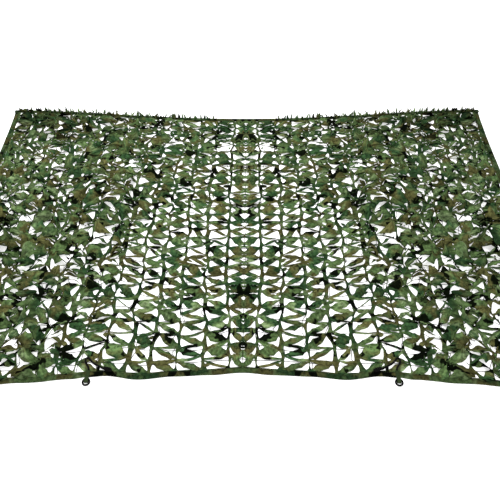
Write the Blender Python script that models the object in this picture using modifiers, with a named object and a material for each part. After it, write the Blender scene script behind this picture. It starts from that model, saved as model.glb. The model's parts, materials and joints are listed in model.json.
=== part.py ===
"""Camouflage shade net, spread on the ground with its four edges drawn in.

A leaf-cut cloth panel has a folded tape bound round each edge. Two rings hang from webbing tabs on
the front edge, and a short knotted tie cord lies beside each ring. Metres, +Z up; the ground is
Z = 0, the origin is the middle of the net, and the front edge faces -Y.
"""

import math
import random

import bmesh
import bpy
from mathutils import Matrix, Vector

# ---------------------------------------------------------------- driving sizes
WIDTH = 3.0                  # corner to corner, along X
DEPTH = 2.0                  # corner to corner, along Y
REAR_HOLLOW = 0.098          # how far the middle of the rear edge is drawn in
SIDE_HOLLOW = 0.042          # the same for each side edge
FRONT_HOLLOW = (             # the front edge: distance from the middle, drawn in by
    {"across": 0.00, "hollow": 0.114},
    {"across": 0.13, "hollow": 0.103},
    {"across": 0.28, "hollow": 0.096},
    {"across": 0.43, "hollow": 0.082},
    {"across": 0.57, "hollow": 0.098},
    {"across": 0.642, "hollow": 0.093},
    {"across": 0.71, "hollow": 0.083},
    {"across": 0.90, "hollow": 0.066},
    {"across": 1.20, "hollow": 0.040},
    {"across": 1.50, "hollow": 0.000},
)

CLOTH = 0.002                # the panel's thickness
TAPE = 0.001                 # the binding tape's thickness
TAPE_WIDTH = 0.026           # seen width of the folded tape
CORNER_GAP = 0.004           # the side tapes end this far short of the front and rear tapes
GAP = 0.0003                 # air between two pieces that touch

COLUMNS = 14                 # gaps are cut at about 2.3 times the real net's pitch
ROWS = 13
MARGIN = 0.036               # whole cloth along every edge, mostly inside the tape
EDGE_INSET = 0.007           # the panel's cut edge stops this far inside the tape's fold
EDGE_CUTS = 3                # extra points of the outline between two stems
OPEN_COLUMNS = 4             # columns each side of the middle with every gap open
STEM_HALF = 0.0185           # half the width of the cloth between two gaps
BUNCHED_HALF = 0.027         # the same where the sides are bunched up
SPREAD = 0.05                # how much wider the middle columns are pulled
BROAD_SHIFT = 0.005          # makes one diagonal of each pair broader than the other

STEM_LIFT = 0.006            # how high the stems may stand off the ground
LEAF_LIFT = 0.013            # how high a leaf's edge lifts in the middle of the net
BUNCHED_LIFT = 0.030         # more at the bunched sides
REAR_LIFT = 0.046            # most along the rear edge
REAR_ZONE = 0.20             # depth of that lifted zone
SEED = 7

TAB_ACROSS = 0.642           # each ring tab's distance from the middle
TAB_WIDTH = 0.016
WEBBING = 0.0012
TAIL = 0.031                 # the tab's tail over the tape
TAB_CLEAR = 0.0018           # between the tab's loop and the curving edge of the tape
RING_BAR = 0.008
RING_RADIUS = 0.0140         # to the middle of the bar
RING_TILT = math.radians(2.5)
RING_SLACK = 0.0010

CORD = 0.008
KNOT_LENGTH = 0.040
KNOT_RADIUS = 0.0095
CALM = 0.075                 # the cloth lies flat within this distance of a tie cord

TAPE_TOP = 2 * TAPE + CLOTH + 2 * GAP
MID_IN_TAPE = TAPE + GAP + CLOTH / 2
CORD_ON_CLOTH = MID_IN_TAPE + CLOTH / 2 + GAP + CORD / 2

# The tie cord beside the right ring, from the tab's tail round to its knot (mirrored for the left).
# across: from the middle of the net; back: from the tape's outer edge at the ring; rise: over the
# height at which the cord lies on the cloth.
CORD_ROUTE = (
    {"across": 0.6420, "back": 0.0326, "rise": 0.0000},
    {"across": 0.6450, "back": 0.0430, "rise": 0.0000},
    {"across": 0.6540, "back": 0.0570, "rise": 0.0000},
    {"across": 0.6625, "back": 0.0710, "rise": 0.0000},
    {"across": 0.6630, "back": 0.0840, "rise": 0.0000},
    {"across": 0.6540, "back": 0.0890, "rise": 0.0000},
    {"across": 0.6440, "back": 0.0790, "rise": 0.0000},
    {"across": 0.6340, "back": 0.0680, "rise": 0.0000},
    {"across": 0.6210, "back": 0.0590, "rise": 0.0003},
    {"across": 0.6080, "back": 0.0515, "rise": 0.0008},
    {"across": 0.5940, "back": 0.0440, "rise": 0.0025},
    {"across": 0.5800, "back": 0.0375, "rise": 0.0050},
)
KNOT_TURN = math.radians(-17)       # the knot's axis, measured from +X on the left side


# ---------------------------------------------------------------- outline and relief
def smooth_step(t):
    t = min(max(t, 0.0), 1.0)
    return t * t * (3 - 2 * t)


def front_hollow(across):
    """How far the front edge is drawn in at a distance from the middle."""
    rows = FRONT_HOLLOW
    across = min(abs(across), rows[-1]["across"])
    for near, far in zip(rows, rows[1:]):
        if across <= far["across"]:
            t = (across - near["across"]) / (far["across"] - near["across"])
            return near["hollow"] + (far["hollow"] - near["hollow"]) * smooth_step(t)
    return 0.0


def front_edge(x):
    return -DEPTH / 2 + front_hollow(x)


def rear_edge(x):
    return DEPTH / 2 - REAR_HOLLOW * (1 - (2 * x / WIDTH) ** 2) ** 2


def side_edge(y):
    return WIDTH / 2 - SIDE_HOLLOW * max(1 - (2 * y / DEPTH) ** 2, 0.0) ** 0.75


def on_net(x, y):
    """Move a point of the plain WIDTH x DEPTH rectangle onto the drawn-in outline."""
    across = x * side_edge(y) / (WIDTH / 2)
    back = (y + DEPTH / 2) / DEPTH
    return across, front_edge(across) + (rear_edge(across) - front_edge(across)) * back


def distance_to_cord(x, y):
    """Distance on the ground from a point of the net to the nearest stretch of tie cord."""
    point = Vector((abs(x), y))
    route = [Vector((r["across"], front_edge(TAB_ACROSS) + r["back"])) for r in CORD_ROUTE]
    return min((point - p).length for p in route)


def leaf_height(x, y, edge_distance):
    """How high a leaf's edge may stand at a point of the net."""
    lift = LEAF_LIFT + (BUNCHED_LIFT - LEAF_LIFT) * smooth_step((abs(x) - 0.6) / 0.5)
    rear = smooth_step(1 - (rear_edge(x) - y) / REAR_ZONE)
    lift += (REAR_LIFT - lift) * rear * smooth_step((abs(x) - 0.15) / 0.3)
    calm = smooth_step((distance_to_cord(x, y) - CALM * 0.6) / (CALM * 0.6))
    return lift * smooth_step((edge_distance - MARGIN) / 0.025) * calm


# ---------------------------------------------------------------- small helpers
def clear_scene():
    for item in list(bpy.data.objects):
        bpy.data.objects.remove(item, do_unlink=True)


def make_collection(name):
    found = bpy.data.collections.new(name)
    bpy.context.scene.collection.children.link(found)
    return found


def make_material(name, colour, roughness, metallic=0.0):
    material = bpy.data.materials.new(name)
    material.use_nodes = True
    shader = material.node_tree.nodes["Principled BSDF"]
    shader.inputs["Base Color"].default_value = (*colour, 1.0)
    shader.inputs["Roughness"].default_value = roughness
    shader.inputs["Metallic"].default_value = metallic
    material.diffuse_color = (*colour, 1.0)
    return material


def add_object(name, data, material, collection):
    item = bpy.data.objects.new(name, data)
    data.materials.append(material)
    collection.objects.link(item)
    return item


def mesh_from(bm, name):
    mesh = bpy.data.meshes.new(name)
    bm.to_mesh(mesh)
    bm.free()
    return mesh


def add_thickness(item, thickness):
    solidify = item.modifiers.new("Thickness", "SOLIDIFY")
    solidify.thickness = thickness
    solidify.offset = 0.0
    solidify.use_even_offset = False
    return solidify


# ---------------------------------------------------------------- the leaf-cut panel
def column_line(step):
    """X on the plain rectangle of a stem, counted from the middle of the net outwards."""
    half = WIDTH / 2 - MARGIN
    t = step / (COLUMNS / 2)
    return half * (t + SPREAD * math.sin(math.pi * t) / math.pi)


def row_line(step):
    return -DEPTH / 2 + MARGIN + (DEPTH - 2 * MARGIN) * step / (2 * ROWS)


def cut_lattice(bm):
    """Half the net as a lattice of triangles between the stems, with each triangle's middle cut."""
    columns, half_rows = COLUMNS // 2, 2 * ROWS
    bmesh.ops.create_grid(bm, x_segments=columns + 1, y_segments=half_rows + 2, size=0.5)
    bm.verts.ensure_lookup_table()
    grid = {}
    for vert in bm.verts:
        i = round((vert.co.x + 0.5) * (columns + 1))
        k = round((vert.co.y + 0.5) * (half_rows + 2)) - 1
        vert.co.x = -column_line(columns - (i - 1)) if i else EDGE_INSET - WIDTH / 2
        vert.co.y = row_line(min(max(k, 0), half_rows))
        if k < 0 or k > half_rows:
            vert.co.y = math.copysign(DEPTH / 2 - EDGE_INSET, k)
        grid[i, k] = vert

    for i in range(1, columns + 1):
        for k in range(half_rows):
            ends = (grid[i, k], grid[i + 1, k + 1]) if k % 2 else (grid[i + 1, k], grid[i, k + 1])
            bmesh.ops.connect_vert_pair(bm, verts=list(ends))
    cross_edges = []
    for i in range(1, columns + 1):
        for k in range(1, half_rows):
            cross_edges.append(bm.edges.get((grid[i, k], grid[i + 1, k])))
    bmesh.ops.dissolve_edges(bm, edges=cross_edges, use_verts=False)
    edge_y = DEPTH / 2 - EDGE_INSET - 1e-5
    outline = [edge for edge in bm.edges if all(abs(v.co.y) > edge_y for v in edge.verts)]
    bmesh.ops.subdivide_edges(bm, edges=outline, cuts=EDGE_CUTS)
    return [face for face in bm.faces if len(face.verts) == 4 and spans_triangle(face)]


def spans_triangle(face):
    """True for a face with three corners on one stem and one on the next, as each gap has."""
    xs = sorted(round(vert.co.x, 5) for vert in face.verts)
    return xs[1] == xs[2]


def open_gaps(bm, faces):
    """Inset every triangle, and cut out those that are gaps."""
    open_limit = column_line(OPEN_COLUMNS) + 0.001
    middle = [face for face in faces if abs(face.calc_center_median().x) < open_limit]
    sides = [face for face in faces if abs(face.calc_center_median().x) >= open_limit]
    bmesh.ops.inset_individual(bm, faces=middle, thickness=STEM_HALF, use_even_offset=True)
    bmesh.ops.inset_individual(bm, faces=sides, thickness=BUNCHED_HALF, use_even_offset=True)
    inner = {vert for face in faces for vert in face.verts}
    gaps = middle + [face for face in sides if base_is_outside(face)]
    bmesh.ops.delete(bm, geom=gaps, context="FACES_ONLY")
    return inner


def base_is_outside(face):
    """True for a triangle whose upright base is on the stem farther from the middle."""
    xs = sorted(vert.co.x for vert in face.verts)
    return xs[2] - xs[0] < xs[3] - xs[1]


def shape_half(bm, inner):
    """Broaden one diagonal, draw the outline in and lift the leaves."""
    chance = random.Random(SEED)
    for vert in bm.verts:
        x, y = vert.co.x, vert.co.y
        edge_distance = min(WIDTH / 2 - abs(x), DEPTH / 2 - abs(y))
        if vert in inner:
            y -= BROAD_SHIFT
        lift = LEAF_LIFT if vert in inner else STEM_LIFT
        x, y = on_net(x, y)
        height = leaf_height(x, y, edge_distance)
        share = chance.random() ** (1.0 if vert in inner else 2.5)
        share *= 1.0 if vert in inner else STEM_LIFT / LEAF_LIFT
        ground = CLOTH / 2 + GAP
        flat = smooth_step((edge_distance - MARGIN) / 0.02)
        vert.co = (x, y, MID_IN_TAPE + (ground - MID_IN_TAPE) * flat + height * share)
        if abs(x) < 1e-6:
            vert.co.x = 0.0


def build_panel(collection, material):
    bm = bmesh.new()
    faces = cut_lattice(bm)
    inner = open_gaps(bm, faces)
    shape_half(bm, inner)
    panel = add_object("net_panel", mesh_from(bm, "net_panel"), material, collection)
    mirror = panel.modifiers.new("Right half", "MIRROR")
    mirror.merge_threshold = 0.0001
    add_thickness(panel, CLOTH)
    return panel


# ---------------------------------------------------------------- the bound edges
def build_binding(name, path, inward, collection, material):
    """A tape folded over the panel's edge: path gives the fold, inward the way to the net."""
    steps = len(path) - 1
    bm = bmesh.new()
    bmesh.ops.create_grid(bm, x_segments=steps, y_segments=3, size=0.5)
    low, high = TAPE / 2, TAPE_TOP - TAPE / 2
    fold = ((TAPE_WIDTH, low), (TAPE / 2, low), (TAPE / 2, high), (TAPE_WIDTH, high))
    for vert in bm.verts:
        i = round((vert.co.x + 0.5) * steps)
        inset, z = fold[round((vert.co.y + 0.5) * 3)]
        vert.co = path[i] + inward(path[i]) * inset + Vector((0, 0, z))
    bmesh.ops.recalc_face_normals(bm, faces=bm.faces)
    tape = add_object(name, mesh_from(bm, name), material, collection)
    add_thickness(tape, TAPE).use_even_offset = True
    return tape


def build_bindings(collection, material):
    steps = 70
    across = [WIDTH * (i / steps - 0.5) for i in range(steps + 1)]
    front = [Vector((x, front_edge(x), 0)) for x in across]
    rear = [Vector((x, rear_edge(x), 0)) for x in across]
    build_binding("binding_front", front, lambda p: Vector((0, 1, 0)), collection, material)
    build_binding("binding_rear", rear, lambda p: Vector((0, -1, 0)), collection, material)
    steps = 24
    end = DEPTH / 2 - TAPE_WIDTH - CORNER_GAP
    for name, side in (("binding_left", -1), ("binding_right", 1)):
        heights = [end * (2 * i / steps - 1) for i in range(steps + 1)]
        path = [Vector((side * side_edge(y), y, 0)) for y in heights]
        build_binding(name, path, lambda p, s=side: Vector((-s, 0, 0)), collection, material)


# ---------------------------------------------------------------- rings, tabs and tie cords
def arc(centre_y, centre_z, radius, start, end, steps):
    """Points of an arc in the YZ plane, angles in degrees from +Y towards +Z."""
    points = []
    for i in range(steps + 1):
        angle = math.radians(start + (end - start) * i / steps)
        points.append((centre_y + radius * math.cos(angle), centre_z + radius * math.sin(angle)))
    return points


def build_tab(name, x, edge_y, collection, material):
    """A webbing loop round the ring's bar, its doubled tail sewn down over the tape."""
    hole = RING_BAR / 2 + RING_SLACK
    eye = RING_RADIUS - RING_BAR / 2
    bow = eye - math.sqrt(eye ** 2 - (TAB_WIDTH / 2) ** 2) - 0.0008
    bar_y = edge_y - TAB_CLEAR - WEBBING - hole
    bar_z = WEBBING + hole
    tail_low = TAPE_TOP + GAP
    tail_high = tail_low + 2 * WEBBING
    outer = [(edge_y + TAIL, tail_low), (edge_y + TAIL, tail_high)]
    outer += [(edge_y + 0.002, tail_high)]
    outer += arc(bar_y, bar_z, hole + WEBBING, 60, 90, 2)
    outer += arc(bar_y - bow, bar_z, hole + WEBBING, 90, 270, 8)
    outer += arc(bar_y, bar_z, hole + WEBBING, 270, 360, 4)
    outer += [(edge_y - TAB_CLEAR, tail_low)]
    inner = arc(bar_y - bow, bar_z, hole, 90, 270, 8) + arc(bar_y, bar_z, hole, 270, 450, 8)
    curve = bpy.data.curves.new(name, "CURVE")
    curve.dimensions = "2D"
    curve.fill_mode = "BOTH"
    curve.extrude = TAB_WIDTH / 2
    for outline in (outer, inner):
        spline = curve.splines.new("POLY")
        spline.points.add(len(outline) - 1)
        for point, (y, z) in zip(spline.points, outline):
            point.co = (y, z, 0, 1)
        spline.use_cyclic_u = True
    tab = add_object(name, curve, material, collection)
    tab.location.x = x
    tab.rotation_euler = (math.radians(90), 0, math.radians(90))
    return bar_y, bar_z


def build_ring(name, x, bar_y, bar_z, collection, material):
    """A ring whose rear bar runs through the tab, and whose front rests near the ground."""
    bpy.ops.mesh.primitive_torus_add(
        major_segments=32, minor_segments=10, major_radius=RING_RADIUS, minor_radius=RING_BAR / 2
    )
    ring = bpy.context.object
    ring.name = name
    ring.data.name = name
    ring.data.materials.append(material)
    ring.data.shade_smooth()
    for owner in list(ring.users_collection):
        owner.objects.unlink(ring)
    collection.objects.link(ring)
    ring.rotation_euler.x = RING_TILT
    ring.location = (x, bar_y - RING_RADIUS * math.cos(RING_TILT),
                     bar_z - RING_RADIUS * math.sin(RING_TILT))
    return ring


def smooth_route(points, spacing):
    """Even points along a Catmull-Rom curve through the given points."""
    ends = [points[0] * 2 - points[1]] + points + [points[-1] * 2 - points[-2]]
    fine = []
    for a, b, c, d in zip(ends, ends[1:], ends[2:], ends[3:]):
        for i in range(20):
            t = i / 20
            fine.append(0.5 * (2 * b + (c - a) * t + (2 * a - 5 * b + 4 * c - d) * t * t
                               + (3 * b - a - 3 * c + d) * t ** 3))
    fine.append(points[-1])
    lengths = [0.0]
    for a, b in zip(fine, fine[1:]):
        lengths.append(lengths[-1] + (b - a).length)
    count = max(round(lengths[-1] / spacing), 1)
    even = []
    for i in range(count + 1):
        target = lengths[-1] * i / count
        k = next((n for n, so_far in enumerate(lengths) if so_far >= target), len(fine) - 1)
        if k == 0:
            even.append(fine[0])
            continue
        t = (target - lengths[k - 1]) / (lengths[k] - lengths[k - 1])
        even.append(fine[k - 1].lerp(fine[k], t))
    return even


def cord_points(side):
    edge_y = front_edge(TAB_ACROSS)
    return [Vector((side * row["across"], edge_y + row["back"], CORD_ON_CLOTH + row["rise"]))
            for row in CORD_ROUTE]


def build_cord(name, side, collection, material):
    route = smooth_route(cord_points(side), 2 * CORD)
    curve = bpy.data.curves.new(name, "CURVE")
    curve.dimensions = "3D"
    curve.bevel_depth = CORD / 2
    curve.bevel_resolution = 2
    curve.use_fill_caps = True
    spline = curve.splines.new("POLY")
    spline.points.add(len(route) - 1)
    for point, place in zip(spline.points, route):
        point.co = (*place, 1)
    return add_object(name, curve, material, collection)


def build_knot(name, side, collection, material):
    """A barrel knot: a turned profile of three wraps, from tip to tip, swept round its own axis."""
    wraps = 3
    bm = bmesh.new()
    steps = 4 * wraps
    profile = []
    for i in range(steps + 1):
        t = i / steps
        body = math.sin(math.pi * t) ** 0.4 if 0 < i < steps else 0.0
        ridge = 0.90 + 0.10 * abs(math.sin(math.pi * wraps * t))
        profile.append(bm.verts.new((KNOT_RADIUS * body * ridge, 0, KNOT_LENGTH * (0.5 - t))))
    for a, b in zip(profile, profile[1:]):
        bm.edges.new((a, b))
    knot = add_object(name, mesh_from(bm, name), material, collection)
    screw = knot.modifiers.new("Turned", "SCREW")
    screw.axis = "Z"
    screw.steps = screw.render_steps = 12
    screw.use_merge_vertices = True
    screw.merge_threshold = 0.00005
    last = cord_points(side)[-1]
    along = Vector((-side * math.cos(KNOT_TURN), math.sin(KNOT_TURN), 0))
    centre = last + along * (KNOT_LENGTH / 2 + GAP)
    centre.z = TAPE_TOP + GAP + KNOT_RADIUS
    turn = along.to_track_quat("Z", "Y").to_matrix().to_4x4()
    knot.matrix_world = Matrix.Translation(centre) @ turn
    return knot


def build_fittings(collection, webbing, black, cord):
    edge_y = front_edge(TAB_ACROSS)
    for word, side in (("left", -1), ("right", 1)):
        x = side * TAB_ACROSS
        bar_y, bar_z = build_tab("ring_tab_" + word, x, edge_y, collection, webbing)
        build_ring("ring_" + word, x, bar_y, bar_z, collection, black)
        build_cord("tie_cord_" + word, side, collection, cord)
        build_knot("tie_knot_" + word, side, collection, cord)


def main():
    clear_scene()
    net = make_collection("camouflage_shade_net")
    leaf_cloth = make_material("Printed leaf cloth", (0.082, 0.108, 0.050), 0.75)
    tape = make_material("Binding tape", (0.020, 0.040, 0.018), 0.85)
    webbing = make_material("Tab webbing", (0.070, 0.085, 0.055), 0.85)
    black = make_material("Black enamelled steel", (0.010, 0.010, 0.010), 0.35)
    cord = make_material("Black tie cord", (0.012, 0.012, 0.012), 0.60)
    build_panel(net, leaf_cloth)
    build_bindings(net, tape)
    build_fittings(net, webbing, black, cord)


main()
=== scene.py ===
# %% [markdown]
# # Camouflage shade net, spread on a pale floor
#
# The real thing is one printed polyester cloth, slit in rows so that it opens into leaf-shaped strips,
# backed by a thin knotted string net, with a folded tape sewn round its four edges. Two black rings
# hang from webbing tabs on the front edge, and a short knotted tie cord lies beside each ring.
#
# The solids of the part come in as a fixed frame. Each is then dressed by a finer piece made here.

# %% Load the frame
import json
import math
import random

import bmesh
import bpy
from mathutils import Matrix, Vector, noise

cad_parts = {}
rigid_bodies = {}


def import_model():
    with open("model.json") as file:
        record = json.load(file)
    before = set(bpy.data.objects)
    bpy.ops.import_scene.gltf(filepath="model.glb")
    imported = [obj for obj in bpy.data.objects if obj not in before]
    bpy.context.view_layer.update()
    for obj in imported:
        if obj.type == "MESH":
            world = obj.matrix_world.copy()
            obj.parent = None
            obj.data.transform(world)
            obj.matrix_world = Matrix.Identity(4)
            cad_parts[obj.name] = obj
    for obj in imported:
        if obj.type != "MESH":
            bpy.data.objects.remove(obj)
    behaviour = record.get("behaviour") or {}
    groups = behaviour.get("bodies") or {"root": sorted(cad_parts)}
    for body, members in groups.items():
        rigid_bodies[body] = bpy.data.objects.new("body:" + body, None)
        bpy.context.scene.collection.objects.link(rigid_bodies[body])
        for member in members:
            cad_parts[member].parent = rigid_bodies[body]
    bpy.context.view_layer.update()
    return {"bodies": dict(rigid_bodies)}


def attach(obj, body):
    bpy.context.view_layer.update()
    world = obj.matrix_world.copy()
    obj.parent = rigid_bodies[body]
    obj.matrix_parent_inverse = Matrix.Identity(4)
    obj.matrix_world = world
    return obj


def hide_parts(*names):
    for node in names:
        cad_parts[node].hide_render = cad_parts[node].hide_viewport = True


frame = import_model()
BODY = next(iter(frame["bodies"]))

# %% [markdown]
# ## Small helpers
#
# A colour is written as the sRGB hex value a painter would pick, and one function turns it to the
# linear values that Blender works in. The next ones add nodes, and the rest make and finish meshes.

# %% Helpers


def srgb(code):
    """Linear RGBA from an sRGB hex colour such as #4a6b3c."""
    values = [int(code[i:i + 2], 16) / 255 for i in (1, 3, 5)]
    return (*[v / 12.92 if v <= 0.04045 else ((v + 0.055) / 1.055) ** 2.4 for v in values], 1.0)


def set_inputs(made, **inputs):
    """Fills a node's inputs, named or numbered (_0, _1). Each takes a value, a socket to link from, or
    a node, whose first output is linked."""
    for name, value in inputs.items():
        socket = made.inputs[int(name[1:]) if name.startswith("_") else name.replace("_", " ")]
        if isinstance(value, bpy.types.Node):
            value = value.outputs[0]
        if isinstance(value, bpy.types.NodeSocket):
            made.id_data.links.new(value, socket)
        else:
            socket.default_value = value
    return made


def node(tree, kind, settings=(), **inputs):
    """Adds a node. settings are its own properties."""
    made = tree.nodes.new(kind)
    for name, value in dict(settings).items():
        setattr(made, name, value)
    return set_inputs(made, **inputs)


def maths(tree, operation, *values, vector=False):
    """Adds a node that reckons with numbers or vectors. Its values come in the order of its inputs."""
    made = node(tree, "ShaderNodeVectorMath" if vector else "ShaderNodeMath", {"operation": operation})
    return set_inputs(made, **{f"_{k}": value for k, value in enumerate(values)})


def new_finish(name, colour, roughness, specular=0.06):
    """A material of plain values to build on, its node tree and its surface shader."""
    material = bpy.data.materials.new(name)
    material.use_nodes = True
    shader = material.node_tree.nodes["Principled BSDF"]
    set_inputs(shader, Base_Color=srgb(colour), Roughness=roughness, Specular_IOR_Level=specular)
    return material, material.node_tree, shader


def ramp(value, start, length):
    """0 up to start, 1 from start + length on, and a smooth rise between."""
    t = min(max((value - start) / length, 0.0), 1.0)
    return t * t * (3 - 2 * t)


def mix(a, b, t):
    return a + (b - a) * t


def add_object(name, data):
    made = bpy.data.objects.new(name, data)
    bpy.context.scene.collection.objects.link(made)
    return made


def add_mesh(name, vertices, faces, edges=()):
    mesh = bpy.data.meshes.new(name)
    mesh.from_pydata(vertices, edges, faces)
    mesh.validate()
    return add_object(name, mesh)


def swept_faces(count, rows, first=0):
    """Faces of a tube of rows of count points each, with a cap at either end."""
    made = []
    for low in range(first, first + (rows - 1) * count, count):
        for m in range(count):
            n = (m + 1) % count
            made.append((low + m, low + n, low + count + n, low + count + m))
    last = first + (rows - 1) * count
    made.append(tuple(range(first, first + count))[::-1])
    made.append(tuple(range(last, last + count)))
    return made


def face_outwards(made):
    bm = bmesh.new()
    bm.from_mesh(made.data)
    bmesh.ops.recalc_face_normals(bm, faces=bm.faces)
    bm.to_mesh(made.data)
    bm.free()


def lay_flat(made, name, place):
    """Adds a UV map. place gives the flat place of a vertex from its number."""
    layer = made.data.uv_layers.new(name=name)
    for loop in made.data.loops:
        layer.data[loop.index].uv = place(loop.vertex_index)


def mark(made, name, values, kind="FLOAT"):
    """Stores numbers on a mesh's points, or vectors written out in one row."""
    attribute = made.data.attributes.new(name, kind, "POINT")
    attribute.data.foreach_set("value" if kind == "FLOAT" else "vector", values)


def settle(made):
    """Applies every modifier: the evaluated mesh becomes the object's own mesh."""
    bpy.context.view_layer.update()
    evaluated = made.evaluated_get(bpy.context.evaluated_depsgraph_get())
    mesh = bpy.data.meshes.new_from_object(evaluated)
    mesh.name = made.name
    made.modifiers.clear()
    made.data = mesh


def thicken(made, thickness):
    """Gives a sheet its thickness, half of it to each side, and applies every modifier."""
    wall = made.modifiers.new("Thickness", "SOLIDIFY")
    wall.thickness = thickness
    wall.offset = 0.0
    settle(made)
    made.data.shade_smooth()


def ride(made, *nodes, slot, material=None):
    """The piece rides on the part's one body, and stands for these solids."""
    if material:
        made.data.materials.append(material)
    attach(made, BODY)
    if nodes:
        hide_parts(*nodes)
    print(f"{made.name}: {sum(len(face.vertices) - 2 for face in made.data.polygons)} triangles")

# %% [markdown]
# ## Camera, floor and light
#
# The net is seen from a person's eye height, standing in front of its front edge. A nearly shadowless
# studio is a large soft lamp, a bright sky and a floor that sends back a little light of its own.

# %% Camera, floor and light
EYE = Vector((0.042, -1.95, 2.00))
PITCH_DOWN = math.radians(48.9)
TURN = math.radians(0.44)
ROLL = math.radians(-0.31)
LENS = 38.2
FLOOR_REACH = 40
FLOOR_DROP = 0.0005          # keeps the floor out of the plane of the net's underside

camera_data = bpy.data.cameras.new("Camera")
camera_data.lens = LENS
camera_data.sensor_width = 36.0
camera_data.clip_end = 100.0
camera = add_object("Camera", camera_data)
tilt = Matrix.Rotation(math.pi / 2 - PITCH_DOWN, 4, "X")
camera.matrix_world = (Matrix.Translation(EYE) @ Matrix.Rotation(TURN, 4, "Z") @ tilt
                       @ Matrix.Rotation(ROLL, 4, "Z"))
bpy.context.scene.camera = camera


def add_lamp(name, place, target, size, power):
    data = bpy.data.lights.new(name, "AREA")
    data.shape = "DISK"
    data.size = size
    data.energy = power
    lamp = add_object(name, data)
    lamp.location = place
    lamp.rotation_euler = (Vector(target) - Vector(place)).to_track_quat("-Z", "Y").to_euler()


add_lamp("Key softbox", (-1.6, 1.4, 3.4), (0, 0, 0), 1.6, 130)
add_lamp("Front softbox", (1.2, -3.2, 2.6), (0, 0, 0), 2.0, 60)

world = bpy.data.worlds.new("Studio")
bpy.context.scene.world = world
world.use_nodes = True
set_inputs(world.node_tree.nodes["Background"], Color=srgb("#ffffff"), Strength=0.75)
bpy.context.scene.view_settings.view_transform = "Standard"

corners = [(FLOOR_REACH * a, FLOOR_REACH * b, 0) for a, b in ((-1, -1), (1, -1), (1, 1), (-1, 1))]
floor = add_mesh("Floor", corners, [(0, 1, 2, 3)])
floor.location.z = -FLOOR_DROP
paper, _, paper_shader = new_finish("Seamless paper", "#f2f2f2", 0.9, 0.5)
set_inputs(paper_shader, Emission_Color=srgb("#ffffff"), Emission_Strength=0.50)
floor.data.materials.append(paper)

# %% [markdown]
# ## The net's outline and its fields
#
# The spread net is a 3 by 2 m rectangle whose edges are drawn in between the corners. The same named
# stations shape the solids. Every point of the cloth has flat places: u counts stems outwards from
# the middle, v counts rows from the front. Fields over the ground then say how the cloth behaves:
# wide open in the middle, bunched up towards the sides, lifted along the rear.

# %% Outline
HALF_WIDTH = 1.5
HALF_DEPTH = 1.0
REAR_HOLLOW = 0.098
SIDE_HOLLOW = 0.042
FRONT_HOLLOW = (
    {"across": 0.00, "hollow": 0.114},
    {"across": 0.13, "hollow": 0.103},
    {"across": 0.28, "hollow": 0.096},
    {"across": 0.43, "hollow": 0.082},
    {"across": 0.57, "hollow": 0.098},
    {"across": 0.642, "hollow": 0.093},
    {"across": 0.71, "hollow": 0.083},
    {"across": 0.90, "hollow": 0.066},
    {"across": 1.20, "hollow": 0.040},
    {"across": 1.50, "hollow": 0.000},
)
TAPE_WIDTH = 0.026
CLOTH_MID = 0.0023           # height of the cloth's middle inside the folded tape
MARGIN = 0.030               # whole cloth along the edges
COLUMNS = 16                 # stems in each half
FIRST = 0.78                 # the first stem's distance from the middle, in columns
FIRST_IN_FRONT = 0.52        # the same along the front edge
ROWS = 30
ROWS_WIDEN = 0.13            # how much deeper than the average the front rows are
WIDEN = 0.16                 # how much wider than the average the middle columns are,
WIDEN_FRONT = 0.02           # how much more near the front,
WIDEN_REAR = 0.09            # and how much less near the rear
OPEN_HALF = 0.37             # how far from the middle the net lies open at the rear,
OPEN_MORE = 0.20             # and how much further at the front


def front_hollow(across):
    across = min(abs(across), HALF_WIDTH)
    for near, far in zip(FRONT_HOLLOW, FRONT_HOLLOW[1:]):
        if across <= far["across"]:
            rise = ramp(across, near["across"], far["across"] - near["across"])
            return mix(near["hollow"], far["hollow"], rise)


def front_edge(x):
    return -HALF_DEPTH + front_hollow(x)


def rear_edge(x):
    return HALF_DEPTH - REAR_HOLLOW * (1 - (x / HALF_WIDTH) ** 2) ** 2


def side_edge(y):
    return HALF_WIDTH - SIDE_HOLLOW * max(1 - y * y, 0.0) ** 0.75


def spread(y):
    """How much wider than the average the middle columns are pulled: most near the front."""
    return WIDEN + WIDEN_FRONT * ramp(-y, 0.3, 0.6) - WIDEN_REAR * ramp(y, 0.45, 0.4)


def on_ground(u, v):
    """Ground place of a point of the cloth. u beyond the last stem, or v past 0 or ROWS, is margin."""
    w = min(max(v / ROWS, 0.0), 1.0)
    w += ROWS_WIDEN * w * (1 - w)
    plain_y = mix(-HALF_DEPTH + MARGIN, HALF_DEPTH - MARGIN, w)
    first = mix(FIRST, FIRST_IN_FRONT, ramp(-plain_y, 0.35, 0.5))
    columns_out = u * first if u < 1 else u - 1 + first
    t = min(columns_out / (COLUMNS - 1 + first), 1.0)
    x = (side_edge(plain_y) - MARGIN) * (t + spread(plain_y) * math.sin(math.pi * t) / math.pi)
    x += max(u - COLUMNS, 0.0) * MARGIN
    y = mix(front_edge(x) + MARGIN, rear_edge(x) - MARGIN, w)
    y += min(v, 0.0) * MARGIN + max(v - ROWS, 0.0) * MARGIN
    return x, y


def bunching(x, y):
    """0 where the net is pulled wide open, 1 where its leaves are crowded together."""
    side = ramp(abs(x) - OPEN_HALF - OPEN_MORE * ramp(-y, 0, 0.8), 0, 0.36)
    return side * (1 - 0.30 * ramp(-y, 0.2, 0.5))


def rear_zone(y):
    return ramp(y, -0.15, 0.8)


def crowding(x, y):
    """As bunching, with the rear of the net, which is crowded all along."""
    return max(bunching(x, y), 0.75 * rear_zone(y))


middle = [on_ground(1, v)[1] for v in range(ROWS + 1)]
print("rows are", [round(1000 * (b - a)) for a, b in zip(middle, middle[1:])][::9], "mm deep")
print("columns are", [round(1000 * (on_ground(u + 1, 4)[0] - on_ground(u, 4)[0])) for u in (0, 1, 6, 14)])

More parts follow.
